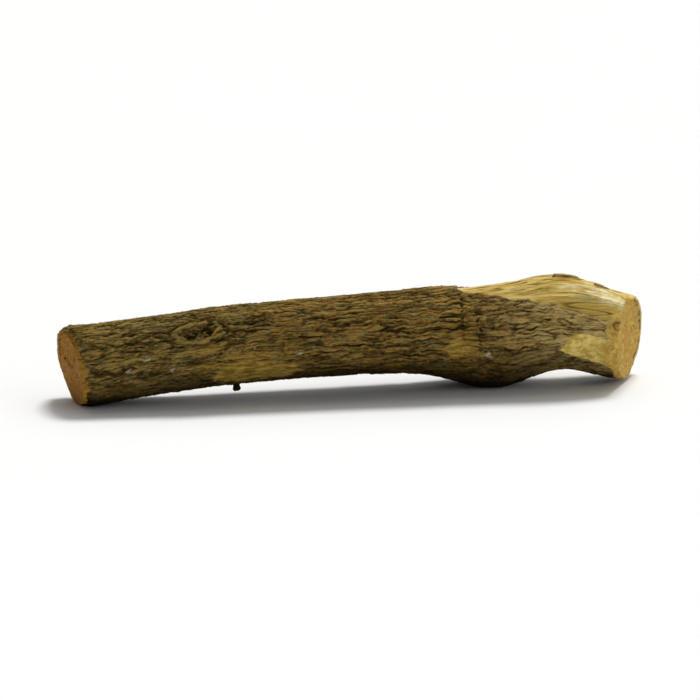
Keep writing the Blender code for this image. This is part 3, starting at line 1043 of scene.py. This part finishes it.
def bark_material():
    tree, shader, made = new_material("bark", 0.92, 0.03)
    streaks = grain(tree, 4.5, 0.55 * MM)
    fine = grain(tree, 1.8, 0.22 * MM, 6.0, 0.7)
    streak_shade = sums(tree, "MULTIPLY", streaks, 0.70)
    shade = sums(tree, "MULTIPLY_ADD", marked(tree, "tone"), 0.62, streak_shade)
    base = shaded(tree, shade, (0.39, 0.84), BARK_COLOURS)
    for stretch, size, limit, share, tint in BLOTCHES:
        blotches = between(tree, grain(tree, stretch, size * MM, 4.0), limit, limit + 0.14)
        base = laid_over(tree, base, blotches, share, tint)
    base = shaded(tree, fine, (0.60, 0.76), (base, BARK_DUST))
    base = blend(tree, 1.0, base, bark_hue(tree), "MULTIPLY")
    inner = shaded(tree, streaks, (0.35, 0.65), INNER_COLOURS)
    base = blend(tree, marked(tree, "layer"), inner, base)
    smudges = between(tree, grain(tree, 5.0, 0.7 * MM, 4.0), 0.30, 0.56)
    ochre = shaded(tree, streaks, (0.38, 0.62), OCHRE_COLOURS)
    base = laid_over(tree, base, marked(tree, "worn"), smudges, ochre)
    for mark, share, tint in SMUDGED_MARKS:
        cover = sums(tree, "MULTIPLY", marked(tree, mark), share)
        smudges = between(tree, grain(tree, 5.0, 0.6 * MM, 4.0), 0.34, 0.60)
        base = laid_over(tree, base, cover, smudges, tint)
    for mark, share, tint in EVEN_MARKS:
        base = laid_over(tree, base, marked(tree, mark), share, tint)
    tree.links.new(base, shader.inputs["Base Color"])
    add_bump(tree, shader, fine, 0.16 * MM, 0.8)
    return made


def split_look(tree, lines):
    """The stripped top: long streaks and lines, paler on the far side."""
    streaks = grain(tree, 26.0, 0.70 * MM, 4.0)
    clouds = grain(tree, 4.0, 4.0 * MM, 3.0)
    base = shaded(tree, streaks, (0.35, 0.70), SPLIT_COLOURS)
    base = laid_over(tree, base, between(tree, lines, 0.48, 0.72), 0.6, SPLIT_LINES)
    base = laid_over(tree, base, between(tree, clouds, 0.52, 0.72), 0.5, SPLIT_CLOUDS)
    far_side = between(tree, axes(tree)[1], -2.0 * MM, 5.0 * MM)
    base = laid_over(tree, base, far_side, 0.6, FAR_SIDE)
    flakes = between(tree, grain(tree, 3.0, 0.9 * MM, 4.0), 0.36, 0.60)
    base = laid_over(tree, base, marked(tree, "cream"), flakes, CREAM)
    return laid_over(tree, base, marked(tree, "green"), 0.6, GREEN)


def patch_look(tree):
    """The smooth patches of the thick end: mottled, with small dark dots."""
    base = shaded(tree, grain(tree, 1.4, 1.6 * MM, 5.0), (0.40, 0.60), PATCH_COLOURS)
    dots = between(tree, grain(tree, 1.5, 0.5 * MM, 5.0), 0.56, 0.68)
    return laid_over(tree, base, dots, 0.6, PATCH_DOTS)


def face_look(tree):
    """The cut faces: torn end grain with clouds and faint rings."""
    speckle = grain(tree, 1.0, 0.60 * MM, 6.0, 0.70)
    broad = grain(tree, 1.0, 2.0 * MM, 4.0)
    base = shaded(tree, speckle, (0.34, 0.66), FACE_COLOURS)
    base = laid_over(tree, base, between(tree, broad, 0.44, 0.60), 0.6, FACE_CLOUDS)
    warped = sums(tree, "MULTIPLY_ADD", broad, RING_WAVER, marked(tree, "reach"))
    rings = sums(tree, "SINE", sums(tree, "MULTIPLY", warped, 2.0 * math.pi / RING_STEP))
    return laid_over(tree, base, between(tree, rings, 0.1, 1.0), 0.22, FACE_RINGS)


def wood_material():
    tree, shader, made = new_material("wood", 0.72, 0.15)
    lines = grain(tree, 45.0, 0.28 * MM, 3.0)
    base = blend(tree, marked(tree, "patch"), split_look(tree, lines), patch_look(tree))
    base = blend(tree, marked(tree, "cut"), base, face_look(tree))
    # Painted shade: the thin end of the wood and its cut face are made darker and more orange
    thin_end_shade = between(tree, axes(tree)[0], -0.040, -0.050)
    base = blend(tree, thin_end_shade, base, THIN_END_SHADE, "MULTIPLY")
    # Painted shade in the wood's cracks and nick
    base = laid_over(tree, base, marked(tree, "crack"), 0.8, WOOD_CRACKS)
    tree.links.new(base, shader.inputs["Base Color"])
    add_bump(tree, shader, lines, 0.08 * MM, 0.5)
    return made


def floor_material():
    tree, shader, made = new_material("floor", 0.9, 0.1)
    base = blend(tree, grain(tree, 1.0, 0.4, 3.0), *FLOOR_COLOURS)
    tree.links.new(base, shader.inputs["Base Color"])
    return made


# The pieces

def fit_to_frame(pieces):
    """Moves the pieces' points so that their box has its middle over the solid's."""
    points = []
    for piece in pieces:
        flat = np.zeros(len(piece.data.vertices) * 3, np.float32)
        piece.data.vertices.foreach_get("co", flat)
        points.append(flat.reshape(-1, 3).astype(float))
    low = np.min([spots.min(0) for spots in points], 0)
    high = np.max([spots.max(0) for spots in points], 0)
    shift = (np.array(CAD_LOW) + np.array(CAD_HIGH) - low - high) / 2.0
    shift[2] = 0.0
    for piece, spots in zip(pieces, points):
        piece.data.vertices.foreach_set("co", (spots + shift).ravel().astype(np.float32))
        piece.data.update()


pieces_by_slot = {
    "bark": [*make_bark(), make_stub()],
    "wood": [make_wood(), make_splinters()],
}
fit_to_frame(pieces_by_slot["bark"] + pieces_by_slot["wood"])
looks = {"bark": bark_material(), "wood": wood_material()}
for slot, piece in [(slot, piece) for slot, pieces in pieces_by_slot.items() for piece in pieces]:
    piece.data.materials.append(looks[slot])
    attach(piece, "root")
    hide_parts(NODE)


# The stage

# Lights from above and behind, and a weak one from the front right: strength, how wide it
# looks in degrees, and the way to it
LIGHTS = (
    ("key", 2.35, 16.0, (0.25, 0.42, 0.87)),
    ("sky", 1.1, 70.0, (0.25, 0.45, 0.85)),
    ("fill", 0.68, 60.0, (0.80, -0.50, 0.28)),
)
SURROUND = 0.14
# The photograph's view: degrees round and above the stick, what it looks at and how far away
VIEW_TURN, VIEW_RISE = -10.5, 14.0
VIEW_TARGET, VIEW_DISTANCE = (-0.0018, 0.0, 0.0080), 0.66


def make_floor():
    bpy.ops.mesh.primitive_plane_add(size=8.0, location=(0.0, 0.0, 0.0))
    floor = bpy.context.object
    floor.name = "floor"
    floor.data.materials.append(floor_material())


def make_light():
    """The lights and a pale surround."""
    for name, energy, angle, way in LIGHTS:
        light = bpy.data.lights.new(name, "SUN")
        light.energy, light.angle = energy, math.radians(angle)
        light_object = bpy.data.objects.new(name, light)
        light_object.rotation_euler = Vector(way).to_track_quat("Z", "Y").to_euler()
        bpy.context.scene.collection.objects.link(light_object)
    world = bpy.data.worlds.new("studio")
    world.use_nodes = True
    background = world.node_tree.nodes["Background"]
    background.inputs["Color"].default_value = (1.0, 1.0, 1.0, 1.0)
    background.inputs["Strength"].default_value = SURROUND
    bpy.context.scene.world = world
    bpy.context.scene.view_settings.view_transform = "Standard"


def make_camera():
    """The photograph's view: from a little to the left and above, through a long lens."""
    turn, rise = math.radians(VIEW_TURN), math.radians(VIEW_RISE)
    flat = math.cos(rise)
    back = Vector((math.sin(turn) * flat, -math.cos(turn) * flat, math.sin(rise)))
    lens = bpy.data.cameras.new("camera")
    lens.lens, lens.sensor_width = 180.0, 36.0
    camera = bpy.data.objects.new("camera", lens)
    camera.location = Vector(VIEW_TARGET) + back * VIEW_DISTANCE
    camera.rotation_euler = (-back).to_track_quat("-Z", "Y").to_euler()
    bpy.context.scene.collection.objects.link(camera)
    bpy.context.scene.camera = camera


make_floor()
make_light()
make_camera()
